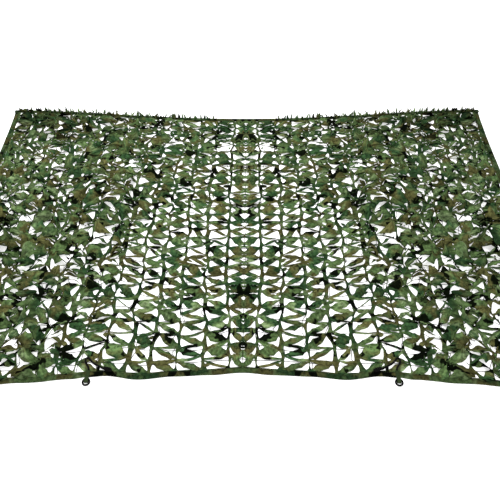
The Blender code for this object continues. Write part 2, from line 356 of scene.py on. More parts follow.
# %% [markdown]
# ## The leaf-cut cloth
#
# The cloth is slit in staggered rows and pulled open. Between two upright stems it becomes a zigzag of
# leaves: one climbs outwards, the next climbs back, and each is narrow where it joins its stems and
# broad half way. Triangular gaps lie between them. Every leaf is a strip of faces with its own
# arch, twist and bow, some gaps have a pointed tongue left in them, and the net's left half mirrors
# its right. It is one connected mesh, because the real panel is one piece. No two leaves are alike, so
# loops place them.

# %% Points of the cloth
STEM_HALF = 0.095            # half a stem's width, in columns
PINCH = 0.050                # how much a stem narrows on each side beside a gap
STEPS = 8                    # faces along a leaf
LEAN = 0.70                  # how much of a row an outward leaf climbs
THIN_END = 0.05              # the share of a leaf that stays narrow at each end
LEAF = {                     # a leaf's form: where the net is open, and where it is crowded
    "end": (0.15, 0.17),             # depth where it joins its stem, in rows
    "outward": (0.74, 0.82),         # depth half way along, in rows
    "returning": (0.38, 0.58),
    "taper": (0.36, 0.22),           # the share of its length that it widens over
    "arch": (0.002, 0.007),          # in metres, as the bow below
    "twist": (0.16, 0.45),           # in radians, as the wave below
    "wave": (0.10, 0.30),
    "bow": (-0.006, -0.001),
    "bow varies": (0.0030, 0.0080),
}
PULLED_TAPER = 0.20          # the same share where the front is pulled tight,
PULLED_SLIM = 0.26           # and how much slimmer leaves are there
BROAD_VARIES = 0.09          # in rows, and twice that where the net is bunched
TORN = 0.015                 # the share of leaves torn to half their depth
END_DEEPEST = 0.34           # of a leaf's end, in rows
MIDDLE_ENDS = (0.24, 0.26)   # depths of the ends that meet their mirror images
JOINT_WANDER = 0.12          # of a joint along its stem, in rows
CORNER_TAPER = 0.12          # and in the four corners
CORNER_BROAD = 0.42          # how much deeper leaves are there, in rows
# The next one is painted shade, darkening the leaves towards the rear corners.
REAR_CORNER_SHADE = 1.1            # how much darker they are at the rear
TONGUES = (0.16, 0.34)       # the share of gaps with a tongue, where it is open and where crowded
DRIFT = (0.016, 0.034)       # how far the net wanders from even, in metres
LUMPS = (0.004, 0.018)       # how high it lifts off the ground, in metres
RIDGE = 0.0015               # how much a stem's middle stands above its sides
LEAF_LOW, LEAF_HIGH = 0.0009, 0.046
COLUMN_CUT = 0.095           # a column and a row of the cloth before it is opened, in metres
ROW_CUT = 0.068
# Places along a tie cord and its knot, where the cloth is kept flat.
CORD_TRACK = ((0.643, -0.875), (0.654, -0.850), (0.663, -0.828), (0.650, -0.820), (0.634, -0.839),
              (0.608, -0.856), (0.580, -0.870), (0.550, -0.879))

chance = random.Random(21)
noise.seed_set(21)           # without a seed, noise_vector takes its offsets from the clock
points, flat, tone, seam, faces = [], [], [], [], []


# shade is a point's painted light and shade, and fold the painted shade in a gathered stem's folds.
def pin(place, u, v, shade=0.0, fold=0.0):
    """Adds a point of the cloth and returns its number."""
    points.append(Vector(place))
    flat.append((u, v))
    tone.append(shade)
    seam.append(fold)
    return len(points) - 1


def calm(x, y):
    """0 beside a tie cord, where the cloth lies flat under it, and 1 away from it."""
    nearest = min(math.hypot(abs(x) - a, y - b) for a, b in CORD_TRACK)
    return ramp(nearest, 0.03, 0.05)


def rear_shade(x, y):
    """1 towards the two rear corners, where the layered leaves are painted darkest, as shade between their
    layers.
    """
    return ramp(abs(x), 0.55, 0.70) * ramp(y, 0.45, 0.40)


def cornering(x, y):
    """1 in the net's four corners, where its leaves lie closed over one another."""
    return ramp(abs(x), 1.12, 0.24) * ramp(abs(y), 0.66, 0.22)


def drifted(u, v):
    """Ground place of a point, with the net's slow unevenness added."""
    x, y = on_ground(u, v)
    reach = mix(*DRIFT, crowding(x, y))
    wander = noise.noise_vector(Vector((u * 0.9, v * 0.42, 3.1)))
    wander += noise.noise_vector(Vector((u * 2.3, v * 1.6, 6.4)))
    inside_u = ramp(u, 0, 2) * ramp(COLUMNS - u, 0, 1.5)
    inside_v = ramp(v, 0, 1.5) * ramp(ROWS - v, 0, 1.5)
    return x + 1.3 * reach * wander.x * inside_u, y + reach * wander.y * inside_v


def stem_height(x, y, u, v):
    """Height of the cloth along a stem: on the ground, with low lumps where it is bunched."""
    inside = ramp(v, 0, 0.6) * ramp(ROWS - v, 0, 0.6) * ramp(COLUMNS - u, 0, 0.6)
    lumps = max(noise.noise(Vector((u * 1.7, v * 0.8, 9.4))), 0.0)
    lift = mix(*LUMPS, bunching(x, y) * (1 - 0.6 * rear_zone(y))) * lumps * calm(x, y)
    return mix(CLOTH_MID, 0.0012 + lift, inside)


# Stem points carry painted shade in the cloth's folds: 0.5 along a stem's sides, 1 on its ridge.
def stem_point(u, v, fold=0.5, extra=0.0):
    x, y = drifted(u, v)
    return pin((x, y, stem_height(x, y, u, v) + extra), u, v, 0.0, fold)


def between(a, b, t):
    """A point of the cloth part of the way from one to another."""
    place = points[a].lerp(points[b], t)
    return pin(place, mix(flat[a][0], flat[b][0], t), mix(flat[a][1], flat[b][1], t), 0.0, seam[a])


# %% Leaves, tongues and stems


def leaf(start, end, broad, full, arch, twist, wave, bow, shade):
    """Fills a leaf between two stems. start and end are its low and high points there."""
    rows = [start]
    deep_a = flat[start[1]][1] - flat[start[0]][1]
    deep_b = flat[end[1]][1] - flat[end[0]][1]
    for k in range(1, STEPS):
        s = k / STEPS
        hump = math.sin(math.pi * s)
        low = points[start[0]].lerp(points[end[0]], s)
        high = points[start[1]].lerp(points[end[1]], s)
        ends = mix(deep_a, deep_b, s)
        deep = mix(ends, max(broad, ends), ramp(min(s, 1 - s), THIN_END, full))
        deep *= 1 + chance.gauss(0.0, 0.08)
        half = (high - low) * (0.5 * deep / ends)
        centre = (low + high) / 2 + half.normalized() * bow * hump
        turn = twist * hump ** 0.8 + wave * math.sin(2 * math.pi * s)
        centre.z += arch * hump ** 0.7 + half.length * abs(math.sin(turn))
        u = mix(flat[start[0]][0], flat[end[0]][0], s)
        v = mix(flat[start[0]][1] + flat[start[1]][1], flat[end[0]][1] + flat[end[1]][1], s) / 2
        row = []
        for t in (-1, 1):
            place = centre + half * t * math.cos(turn)
            place.z += t * half.length * math.sin(turn)
            place.z = min(max(place.z, LEAF_LOW), LEAF_HIGH)
            row.append(pin(place, u, v + t * deep / 2, shade))
        rows.append(row)
    rows.append(end)
    for a, b in zip(rows, rows[1:]):
        faces.append((a[0], b[0], b[1], a[1]))


def tongue(root, reach, sag, rise, outwards):
    """A pointed tongue that reaches into a gap from three points of a stem."""
    # The tongue is painted a little lighter or darker at random, as it catches light.
    shade = chance.gauss(0.0, 0.6)
    base = points[root[1]].copy()
    width = (points[root[2]] - points[root[0]]) / 2
    aim = Vector((1.0 if outwards else -1.0, sag, 0.0)).normalized()
    rows = [root]
    for s, wide in ((0.35, 1.15), (0.7, 0.75)):
        centre = base + aim * reach * s
        centre.z = base.z + rise * s ** 1.5
        u, v = flat[root[1]][0] + s * reach * 10 * aim.x, flat[root[1]][1]
        rows.append([pin(centre + width * wide * t, u, v + 0.15 * t * wide, shade) for t in (-1, 0, 1)])
    tip = base + aim * reach
    tip.z = base.z + rise * 0.8
    tip = pin(tip, flat[root[1]][0] + reach * 10 * aim.x, flat[root[1]][1], shade)
    for a, b in zip(rows, rows[1:]):
        for k in (0, 1):
            quad = (a[k], b[k], b[k + 1], a[k + 1])
            faces.append(quad if outwards else quad[::-1])
    for k in (0, 1):
        ends = (rows[-1][k], tip, rows[-1][k + 1])
        faces.append(ends if outwards else ends[::-1])


def zip_lines(a, b):
    """Fills between two lines of points that run from front to rear, a nearer the middle."""
    i = j = 0
    while i < len(a) - 1 or j < len(b) - 1:
        next_a = flat[a[i + 1]][1] if i < len(a) - 1 else math.inf
        next_b = flat[b[j + 1]][1] if j < len(b) - 1 else math.inf
        if abs(next_a - next_b) < 1e-6:
            faces.append((a[i], b[j], b[j + 1], a[i + 1]))
            i, j = i + 1, j + 1
        elif next_a < next_b:
            faces.append((a[i], b[j], a[i + 1]))
            i += 1
        else:
            faces.append((a[i], b[j], b[j + 1]))
            j += 1


def leaf_form(i, v, out):
    """One leaf's breadth, taper, arch, twist, wave, bow and shade."""
    x, y = on_ground(i + 0.5, v)
    still = calm(x, y)
    wild = bunching(x, y) * (1 - 0.7 * rear_zone(y))
    packed = crowding(x, y)
    pulled = ramp(-y, 0.05, 0.40) * (1 - packed)
    full = mix(mix(*LEAF["taper"], packed), PULLED_TAPER, pulled)
    broad = mix(*LEAF["outward" if out else "returning"], packed)
    broad *= 1 - PULLED_SLIM * pulled
    broad += chance.uniform(-BROAD_VARIES, BROAD_VARIES) * (1 + wild)
    if chance.random() < TORN:
        broad *= 0.5
    if i == 0:
        broad += 0.0 if out else 0.10
    corner = cornering(x, y)
    broad += CORNER_BROAD * corner
    full = mix(full, CORNER_TAPER, corner)
    arch = mix(*LEAF["arch"], wild) * chance.uniform(0.1, 1.7)
    twist = max(min(chance.gauss(0.0, mix(*LEAF["twist"], wild)), 1.2), -1.2)
    wave = chance.gauss(0.0, mix(*LEAF["wave"], wild))
    bow = chance.gauss(mix(*LEAF["bow"], packed), mix(*LEAF["bow varies"], wild))
    # Painted light and shade: random as the leaf catches light, and shade towards the rear corners.
    shade = chance.gauss(0.0, 0.5) - REAR_CORNER_SHADE * rear_shade(x, y)
    return broad, full, arch * still, twist * still, wave * still, bow, shade


def gap_side(a, b, outwards):
    """Points across the base of a gap, from one leaf's end to the next, some with a tongue."""
    x, y, _ = points[a]
    if chance.random() < mix(*TONGUES, crowding(x, y)) and flat[b][1] - flat[a][1] > 0.3:
        root = [between(a, b, t) for t in (0.3, 0.5, 0.7)]
        still = calm(x, y)
        reach = chance.uniform(0.018, 0.042) * mix(1.0, 1.2, crowding(x, y))
        rise = (0.002 + 0.026 * chance.random() * max(crowding(x, y), 0.15)) * still
        tongue(root, reach, chance.uniform(-0.7, 0.7), rise, outwards)
        return root
    side = [between(a, b, t) for t in (0.25, 0.75)]
    if x > 1e-6:
        for p in side:
            points[p].x += COLUMN_CUT * PINCH * chance.uniform(0.4, 1.0) * (-1 if outwards else 1)
    return side


def leaf_ends(i, j):
    """Depths of the four leaf ends of a cell, in rows: out-going start and end, returning ones."""
    x, y = on_ground(i + 0.5, j + 0.5)
    deep = mix(*LEAF["end"], crowding(x, y))
    ends = [min(deep * chance.uniform(0.6, 1.4), END_DEEPEST) for _ in range(4)]
    if i == 0:
        ends[0], ends[3] = MIDDLE_ENDS
    return ends


def jitter(v, reach):
    """A joint's wander along its stem, none at the first and last rows."""
    return chance.uniform(-reach, reach) if 0.4 < v < ROWS - 0.4 else 0.0


def cell_column(i):
    """One column of leaves. Returns its two lines of stem points and its front and rear rims."""
    inner_u = i + STEM_HALF if i else 0.0
    outer_u = i + 1 - STEM_HALF
    reach = JOINT_WANDER if i else 0.0
    joints_in = [stem_point(inner_u, j + jitter(j, reach)) for j in range(ROWS + 1)]
    joints_out = []
    for j in range(ROWS):
        turn_v = j + mix(LEAN, 0.50, bunching(*on_ground(i + 1, j + 0.5)))
        joints_out.append(stem_point(outer_u, turn_v + jitter(turn_v, JOINT_WANDER)))
    inner, outer = [], [stem_point(outer_u, 0)]
    for j in range(ROWS):
        out_start, out_end, back_start, back_end = leaf_ends(i, j)
        low, turn, high = joints_in[j], joints_out[j], joints_in[j + 1]
        going = [low, stem_point(inner_u, flat[low][1] + out_start)]
        arriving = [stem_point(outer_u, flat[turn][1] - out_end), turn]
        leaving = [turn, stem_point(outer_u, flat[turn][1] + back_start)]
        coming = [stem_point(inner_u, flat[high][1] - back_end), high]
        inner += going + gap_side(going[1], coming[0], True) + coming[:1]
        outer += gap_side(outer[-1], arriving[0], False) + arriving + leaving[1:]
        leaf(going, arriving, *leaf_form(i, j + 0.3, True))
        leaf(coming, leaving, *leaf_form(i, j + 0.8, False))
    inner.append(joints_in[ROWS])
    rear = stem_point(outer_u, ROWS)
    outer += [between(outer[-1], rear, t) for t in (1 / 3, 2 / 3)] + [rear]
    front_rim = [between(inner[0], outer[0], k / STEPS) for k in range(1, STEPS)]
    rear_rim = [between(inner[-1], outer[-1], k / STEPS) for k in range(1, STEPS)]
    return inner, outer, [inner[0], *front_rim, outer[0]], [inner[-1], *rear_rim, outer[-1]]


previous = None
front_line, rear_line = [], []
for i in range(COLUMNS):
    inner, outer, front_rim, rear_rim = cell_column(i)
    if previous:
        ridge = [stem_point(i, flat[p][1], 1.0, RIDGE) for p in previous[::2]]
        if flat[ridge[-1]][1] < ROWS:
            ridge.append(stem_point(i, ROWS, 1.0, RIDGE))
        zip_lines(previous, ridge)
        zip_lines(ridge, inner)
        front_line.append(ridge[0])
        rear_line.append(ridge[-1])
    front_line += front_rim
    rear_line += rear_rim
    previous = outer
seam_line = [stem_point(COLUMNS, flat[p][1], 1.0) for p in previous]
side_line = [stem_point(COLUMNS + 0.8, flat[p][1], 0.0) for p in previous]
zip_lines(previous, seam_line)
zip_lines(seam_line, side_line)
front_line += [seam_line[0], side_line[0]]
rear_line += [seam_line[-1], side_line[-1]]
for line, edge_v in ((front_line, -0.8), (rear_line, ROWS + 0.8)):
    edge = [stem_point(flat[p][0], edge_v, 0.0) for p in line]
    for k in range(len(line) - 1):
        quad = (edge[k], edge[k + 1], line[k + 1], line[k])
        faces.append(quad if edge_v < 0 else quad[::-1])
print("half the cloth:", len(points), "points,", len(faces), "faces")

# %% Mirror, thickness and attributes
CLOTH_THICK = 0.0009


def mirrored_mesh(name):
    """Both halves as one mesh, welded along the middle, with the flat places kept as its UV map."""
    twin, places = [], [tuple(p) for p in points]
    for k, p in enumerate(points):
        if abs(p.x) < 1e-7:
            twin.append(k)
        else:
            twin.append(len(places))
            places.append((-p.x, p.y, p.z))
    all_faces = faces + [tuple(twin[k] for k in reversed(face)) for face in faces]
    source = list(range(len(points))) + [k for k, t in enumerate(twin) if t != k]
    made = add_mesh(name, places, all_faces)
    lay_flat(made, "Cloth", lambda k: (flat[source[k]][0] * COLUMN_CUT, flat[source[k]][1] * ROW_CUT))
    mark(made, "tone", [tone[k] for k in source])
    mark(made, "seam", [seam[k] for k in source])
    return made


leaf_cloth = mirrored_mesh("leaf_cloth")
thicken(leaf_cloth, CLOTH_THICK)
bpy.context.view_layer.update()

# %% [markdown]
# ## Camouflage print
#
# The print is four colours in soft-edged blots on a light ground, laid over the cloth before it was cut,
# so it reads the flat UV map. Noise is cut off at a level to give each colour's blots. Over the print go
# painted light and shade: the stems are painted darker where the cloth is gathered, as shade in its folds,
# each leaf is painted a little lighter or darker as it catches light, and darker still towards the rear
# corners, as shade between layered leaves. A fine mottle of painted light and shade lies over it all.

# %% Camouflage print
PRINT = (
    {"name": "light green", "colour": "#6e8059", "size": 0.045, "level": 0.57, "edge": 0.05, "shift": 0.0},
    {"name": "dark green", "colour": "#2c4529", "size": 0.060, "level": 0.52, "edge": 0.04, "shift": 4.7},
    {"name": "brown", "colour": "#4f4f2e", "size": 0.060, "level": 0.55, "edge": 0.06, "shift": 9.2},
    {"name": "black", "colour": "#080d05", "size": 0.045, "level": 0.60, "edge": 0.015, "shift": 15.6},
)
PRINT_GROUND = "#4c613a"
# The next two are painted light and shade: a leaf catching light, and shade in a gathered stem's folds.
LEAF_CONTRAST = 0.36         # how much lighter or darker a leaf of tone 1 or -1 is
STEM_FOLD_SHADE = 0.45             # how much darker a gathered stem is


def printed_cloth(name, dull=1.0, leaves=True, loose=False):
    """Woodland-printed polyester. Loose leaves take the print by place, and not by the UV map."""
    material, tree, shader = new_finish(name, PRINT_GROUND, 0.9, 0.02)
    if loose:
        coordinate = node(tree, "ShaderNodeTexCoord").outputs["Object"]
        place = maths(tree, "ABSOLUTE", coordinate, vector=True)
    else:
        place = node(tree, "ShaderNodeUVMap", {"uv_map": "Cloth"})
    stir = node(tree, "ShaderNodeTexNoise", Vector=place, Scale=16.0, Detail=3.0)
    centred = maths(tree, "SUBTRACT", stir.outputs["Color"], (0.5, 0.5, 0.5), vector=True)
    swirl = maths(tree, "MULTIPLY_ADD", centred, (0.10, 0.10, 0.10), place, vector=True)
    colour = srgb(PRINT_GROUND)
    for ink in PRINT:
        moved = maths(tree, "ADD", swirl, (ink["shift"], ink["shift"], 0.0), vector=True)
        blots = node(tree, "ShaderNodeTexNoise", Vector=moved, Scale=0.6 / ink["size"], Detail=2.0,
                     Roughness=0.5)
        edge = node(tree, "ShaderNodeMapRange", Value=blots, From_Min=ink["level"] - ink["edge"],
                    From_Max=ink["level"] + ink["edge"])
        layer = node(tree, "ShaderNodeMix", {"data_type": "RGBA"}, Factor=edge, A=colour,
                     B=srgb(ink["colour"]))
        colour = layer.outputs[2]
    # Painted light and shade: each leaf lighter or darker as it catches light, each stem darker in its
    # folds.
    value = dull
    if leaves:
        shade = node(tree, "ShaderNodeAttribute", {"attribute_name": "tone"}).outputs["Fac"]
        fold = node(tree, "ShaderNodeAttribute", {"attribute_name": "seam"}).outputs["Fac"]
        lighter = maths(tree, "MULTIPLY_ADD", shade, LEAF_CONTRAST, dull)
        value = maths(tree, "MULTIPLY_ADD", fold, -STEM_FOLD_SHADE, lighter)
    toned = node(tree, "ShaderNodeHueSaturation", Color=colour, Saturation=1.0, Value=value)
    # A fine mottle of painted light and shade over the print, as of small creases.
    mottle_noise = node(tree, "ShaderNodeTexNoise", Vector=place, Scale=75.0, Detail=2.0, Roughness=0.6)
    light_and_shade = node(tree, "ShaderNodeMapRange", Value=mottle_noise, From_Min=0.3, From_Max=0.7, To_Min=0.36,
                 To_Max=1.76)
    mottled = node(tree, "ShaderNodeVectorMath", {"operation": "SCALE"}, _0=toned, Scale=light_and_shade)
    # The real weave is about 0.4 mm. It is drawn at 3 mm, so that it can be seen from above.
    weave = node(tree, "ShaderNodeTexWave", Vector=place, Scale=105.0, Distortion=1.0)
    creases = node(tree, "ShaderNodeTexNoise", Vector=place, Scale=45.0, Detail=4.0)
    both = maths(tree, "MULTIPLY_ADD", weave.outputs["Fac"], 0.10, creases)
    bump = node(tree, "ShaderNodeBump", Height=both, Strength=0.6, Distance=0.006)
    set_inputs(shader, Base_Color=mottled, Normal=bump)
    return material


# Light polyester oxford cloth, printed on both faces.
cloth_print = printed_cloth("Printed polyester cloth")
ride(leaf_cloth, "net_panel", slot="leaf_cloth", material=cloth_print)

# %% [markdown]
# ## Geometry trees
#
# A tree is built once, and takes its sizes through named inputs. String runs along lines and carries a
# knot at each crossing. A stitch repeats along a line. Both read a plain mesh of points and edges.

# %% Geometry trees
VECTORS = {"data_type": "FLOAT_VECTOR"}


def start_tree(name, *labels):
    """A modifier tree with these number inputs. Returns it, its sources and their identifiers."""
    tree = bpy.data.node_groups.new(name, "GeometryNodeTree")
    tree.is_modifier = True
    tree.interface.new_socket("Geometry", in_out="INPUT", socket_type="NodeSocketGeometry")
    sockets = {}
    for label in labels:
        made = tree.interface.new_socket(label, in_out="INPUT", socket_type="NodeSocketFloat")
        sockets[label] = made.identifier
    tree.interface.new_socket("Geometry", in_out="OUTPUT", socket_type="NodeSocketGeometry")
    return tree, node(tree, "NodeGroupInput").outputs, sockets


def end_tree(tree, geometry, material):
    real = node(tree, "GeometryNodeRealizeInstances", Geometry=geometry)
    painted = node(tree, "GeometryNodeSetMaterial", Geometry=real, Material=material)
    node(tree, "NodeGroupOutput", Geometry=painted)


def apply_tree(made, tree, sockets, sizes):
    """Runs the tree on the object, and leaves one material on the result."""
    modifier = made.modifiers.new(tree.name, "NODES")
    modifier.node_group = tree
    for label, value in sizes.items():
        modifier[sockets[label]] = value
    settle(made)
    material = next(m for m in made.data.materials if m)
    made.data.materials.clear()
    made.data.materials.append(material)
    return made


def string_tree(material):
    """Round string along every edge, and a knot at every point whose "knot" is 1."""
    tree, source, sockets = start_tree("Knotted string", "String radius", "Knot radius")
    lines = node(tree, "GeometryNodeMeshToCurve", Mesh=source["Geometry"])
    ring = node(tree, "GeometryNodeCurvePrimitiveCircle", Radius=source["String radius"], Resolution=5)
    string = node(tree, "GeometryNodeCurveToMesh", Curve=lines, Profile_Curve=ring, Fill_Caps=True)
    ball = node(tree, "GeometryNodeMeshIcoSphere", Radius=source["Knot radius"], Subdivisions=1)
    marked = node(tree, "GeometryNodeInputNamedAttribute", {"data_type": "FLOAT"}, Name="knot")
    turned = node(tree, "FunctionNodeRandomValue", VECTORS, _1=(0.0, 0.0, 6.28), Seed=3)
    stretch = node(tree, "FunctionNodeRandomValue", VECTORS, _0=(0.8, 0.8, 0.30), _1=(1.7, 1.1, 0.40),
                   Seed=4)
    knots = node(tree, "GeometryNodeInstanceOnPoints", Points=source["Geometry"], Instance=ball,
                 Selection=marked, Rotation=turned, Scale=stretch)
    both = node(tree, "GeometryNodeJoinGeometry", Geometry=string)
    set_inputs(both, Geometry=knots)
    end_tree(tree, both, material)
    return tree, sockets


def stitch_tree(material):
    """A short thread stitch at every pitch along each line, turned along it."""
    tree, source, sockets = start_tree("Stitches", "Pitch", "Stitch length", "Thread radius")
    lines = node(tree, "GeometryNodeMeshToCurve", Mesh=source["Geometry"])
    places = node(tree, "GeometryNodeCurveToPoints", {"mode": "LENGTH"}, Curve=lines,
                  Length=source["Pitch"])
    stitch = node(tree, "GeometryNodeMeshCylinder", Radius=source["Thread radius"],
                  Depth=source["Stitch length"], Vertices=6)
    along = node(tree, "FunctionNodeAlignRotationToVector", {"axis": "Z"},
                 Vector=places.outputs["Tangent"])
    stitches = node(tree, "GeometryNodeInstanceOnPoints", Points=places, Instance=stitch, Rotation=along)
    end_tree(tree, stitches, material)
    return tree, sockets


def line_mesh(name, lines):
    """Points and edges only, one run of edges for each line."""
    places, edges = [], []
    for line in lines:
        first = len(places)
        places += [tuple(p) for p in line]
        edges += [(k, k + 1) for k in range(first, len(places) - 1)]
    return add_mesh(name, places, [], edges)

# %% [markdown]
# ## String net behind the cloth
#
# A thin knotted string net carries the cloth. Its cross strings show through the gaps as fine lines.

# %% String net
STRING_RADIUS = 0.0014
STRING_KNOT = 0.0026
STRING_ROWS = 1.10           # rows of leaves between two cross strings
STRING_FIRST = 0.55          # where the first of them lies, in rows
STRING_SAG = 0.14            # how far a cross string wanders, in rows
STRING_SIDE = 0.30           # how far an upright string wanders, in columns


def string_lines():
    """Cross strings and upright strings, with the crossing points marked."""
    lines, marks = [], []
    count = int(ROWS / STRING_ROWS)
    for k in range(count):
        line, mark = [], []
        v = STRING_FIRST + k * (ROWS - 1) / (count - 1)
        for step in range(-3 * COLUMNS, 3 * COLUMNS + 1):
            u = abs(step) / 3
            sag = STRING_SAG * noise.noise(Vector((step * 0.31, v * 1.7, 2.2)))
            x, y = drifted(min(u, COLUMNS + 0.2), v + sag)
            line.append((math.copysign(x, step), y, STRING_RADIUS))
            mark.append(float(step % 3 == 0))
        lines.append(line)
        marks += mark
    for column in range(-COLUMNS, COLUMNS + 1):
        line = []
        for step in range(2 * ROWS + 1):
            v = step / 2
            side = STRING_SIDE * noise.noise(Vector((column * 3.3, v * 0.9, 7.7)))
            x, y = drifted(max(abs(column) + side, 0.0), v)
            line.append((math.copysign(x, column), y, STRING_RADIUS))
        lines.append(line)
        marks += [0.0] * len(line)
    return lines, marks


# Dark green nylon string.
string_nylon, _, _ = new_finish("Nylon string", "#12170f", 0.8)
lines, marks = string_lines()
string_net = line_mesh("string_net", lines)
mark(string_net, "knot", marks)
apply_tree(string_net, *string_tree(string_nylon),
           {"String radius": STRING_RADIUS, "Knot radius": STRING_KNOT})
string_net.data.shade_smooth()
ride(string_net, slot="leaf_cloth")

# %% [markdown]
# ## Loose leaf tips
#
# Where the net is bunched, and all along its rear, cut tips of leaves stick out of the heap every way,
# and some stand up behind the rear edge. A tree sets one leaf shape on every marked place, with the
# turn and the size that the place carries. Half of them are placed, and the rest are mirrored.

# %% Loose leaf tips
TIPS = 1200                  # strewn over each half
REAR_TIPS = 120              # standing along each half of the rear edge
TIP_THICK = 0.0007
TIP_LOW, TIP_HIGH = 0.0008, 0.047


def leaf_tip():
    """One pointed leaf along +X, of unit length and width, arched and curled at its tip."""
    places, faces_made = [], []
    for k, wide in enumerate((0.34, 0.50, 0.44, 0.26, 0.03)):
        s = k / 4
        for t in (-1, 0, 1):
            places.append((s, wide * t, 0.9 * s * s * (1 - 0.45 * s) + 0.12 * (1 - t * t)))
    for k in range(4):
        for m in (0, 1):
            a = 3 * k + m
            faces_made.append((a, a + 3, a + 4, a + 1))
    return add_mesh("leaf_tip", places, faces_made)


def tip_places(count, rear_count):
    """Places, turns and sizes of the loose tips of the right half."""
    places, turns, sizes = [], [], []
    while len(places) < count:
        u, v = chance.uniform(0.3, COLUMNS - 0.3), chance.uniform(0.8, ROWS - 0.3)
        x, y = drifted(u, v)
        if chance.random() > max(bunching(x, y), 0.4 * rear_zone(y)) ** 1.3 or calm(x, y) < 1:
            continue
        places.append((x, y, chance.uniform(0.002, 0.010)))
        turns.append((chance.gauss(0, 0.5), chance.gauss(-0.15, 0.35), chance.uniform(0, 2 * math.pi)))
        long = chance.uniform(0.014, 0.030)
        sizes.append((long, chance.uniform(0.007, 0.014), long * chance.uniform(0.0, 0.4)))
    for k in range(rear_count):
        x = mix(0.14, 1.47, ((k + chance.random()) / rear_count) ** 0.7)
        y = rear_edge(x) - chance.uniform(0.004, 0.026)
        places.append((x, y, 0.0052))
        turns.append((chance.gauss(0, 0.5), chance.uniform(-1.5, -0.5), chance.uniform(0, 2 * math.pi)))
        long = chance.uniform(0.022, 0.046)
        sizes.append((long, chance.uniform(0.008, 0.018), long * chance.uniform(-0.3, 0.3)))
    return places, turns, sizes


def tips_tree(shape, material):
    """The leaf shape on every point, turned and sized by its "turn" and "size"."""
    tree, source, sockets = start_tree("Leaf tips")
    leaf_shape = node(tree, "GeometryNodeObjectInfo", Object=shape).outputs["Geometry"]
    turn = node(tree, "GeometryNodeInputNamedAttribute", VECTORS, Name="turn")
    size = node(tree, "GeometryNodeInputNamedAttribute", VECTORS, Name="size")
    tips = node(tree, "GeometryNodeInstanceOnPoints", Points=source["Geometry"], Instance=leaf_shape,
                Rotation=turn, Scale=size)
    # Each tip is painted lighter or darker at random, as it catches light.
    shade = node(tree, "FunctionNodeRandomValue", {"data_type": "FLOAT"}, _2=-1.0, _3=1.0, Seed=8)
    toned = node(tree, "GeometryNodeStoreNamedAttribute", {"data_type": "FLOAT", "domain": "INSTANCE"},
                 Geometry=tips, Value=shade.outputs[1], Name="tone")
    end_tree(tree, toned, material)
    return tree, sockets


tip_shape = leaf_tip()
tip_points, tip_turns, tip_sizes = tip_places(TIPS, REAR_TIPS)
leaf_tips = line_mesh("leaf_tips", [[p] for p in tip_points])
for label, rows in (("turn", tip_turns), ("size", tip_sizes)):
    mark(leaf_tips, label, [value for row in rows for value in row], "FLOAT_VECTOR")
# The same cloth, printed by place.
tip_print = printed_cloth("Printed cloth of the tips", loose=True)
apply_tree(leaf_tips, *tips_tree(tip_shape, tip_print), {})
for vertex in leaf_tips.data.vertices:
    vertex.co.z = min(max(vertex.co.z, TIP_LOW), TIP_HIGH)
bpy.data.objects.remove(tip_shape)
leaf_tips.modifiers.new("Other half", "MIRROR")
thicken(leaf_tips, TIP_THICK)
ride(leaf_tips, slot="leaf_cloth")

# %% [markdown]
# ## Bound edges
#
# Each edge is a strip of the same cloth folded over and sewn down. It is swept as a soft U-shaped
# section: the lower leaf lies on the ground, the upper one puckers along its seam, and the fold faces
# outwards.

# %% Bound edges
TAPE_TOP = 0.0046
TAPE_WALL = 0.0010
CORNER_GAP = 0.004
SEAM_INSET = 0.004           # the seam, from the tape's inner edge


def tape_section(seam_wave, edge_wave, fold_wave):
    """The U-shaped section: inwards from the fold, and height. It runs round once."""
    wide, top = TAPE_WIDTH + edge_wave, TAPE_TOP
    inner = TAPE_WALL
    mid = TAPE_TOP / 2
    seam_at = wide - SEAM_INSET
    section = [(wide, 0.0001), (wide * 0.5, 0.0001), (0.004, 0.0002), (0.0012 + fold_wave, 0.0008),
               (0.0001 + fold_wave, mid), (0.0012 + fold_wave, top - 0.0008), (0.004, top - 0.0002),
               (wide * 0.35, top + 0.0003 * seam_wave), (wide * 0.6, top + 0.0007 * seam_wave),
               (seam_at - 0.002, top + 0.0002), (seam_at, top - 0.0007), (seam_at + 0.002, top - 0.0001),
               (wide, top - 0.0004)]
    section += [(wide, top - inner - 0.0004), (seam_at, top - inner - 0.0007),
                (0.0045, top - inner), (0.0026, mid), (0.0045, inner), (wide, inner)]
    return section


def tape_mesh(name, path, inward):
    """Sweeps the section along a path of fold points."""
    count = len(tape_section(0, 0, 0))
    places, along = [], [0.0]
    for a, b in zip(path, path[1:]):
        along.append(along[-1] + (b - a).length)
    for k, point in enumerate(path):
        s = along[k]
        seam_wave = noise.noise(Vector((s * 55, 1.0, point.y))) + 0.6 * math.sin(s * 410)
        edge_wave = 0.0011 * noise.noise(Vector((s * 21, 5.0, point.y)))
        fold_wave = 0.0009 * (1 + noise.noise(Vector((s * 17, 9.0, point.x + point.y))))
        for inset, z in tape_section(seam_wave, edge_wave, fold_wave):
            places.append(point + inward * inset + Vector((0, 0, z)))
    made = add_mesh(name, places, swept_faces(count, len(path)))
    face_outwards(made)
    lay_flat(made, "Cloth", lambda k: (abs(path[k // count].x) + 0.9 * path[k // count].y,
                                       k % count * 0.004))
    made.data.shade_smooth()
    return made


# The same printed cloth, darker where it is doubled.
tape_print = printed_cloth("Printed binding cloth", dull=0.48, leaves=False)
# Dark polyester sewing thread.
thread, _, _ = new_finish("Sewing thread", "#232b1f", 0.7)

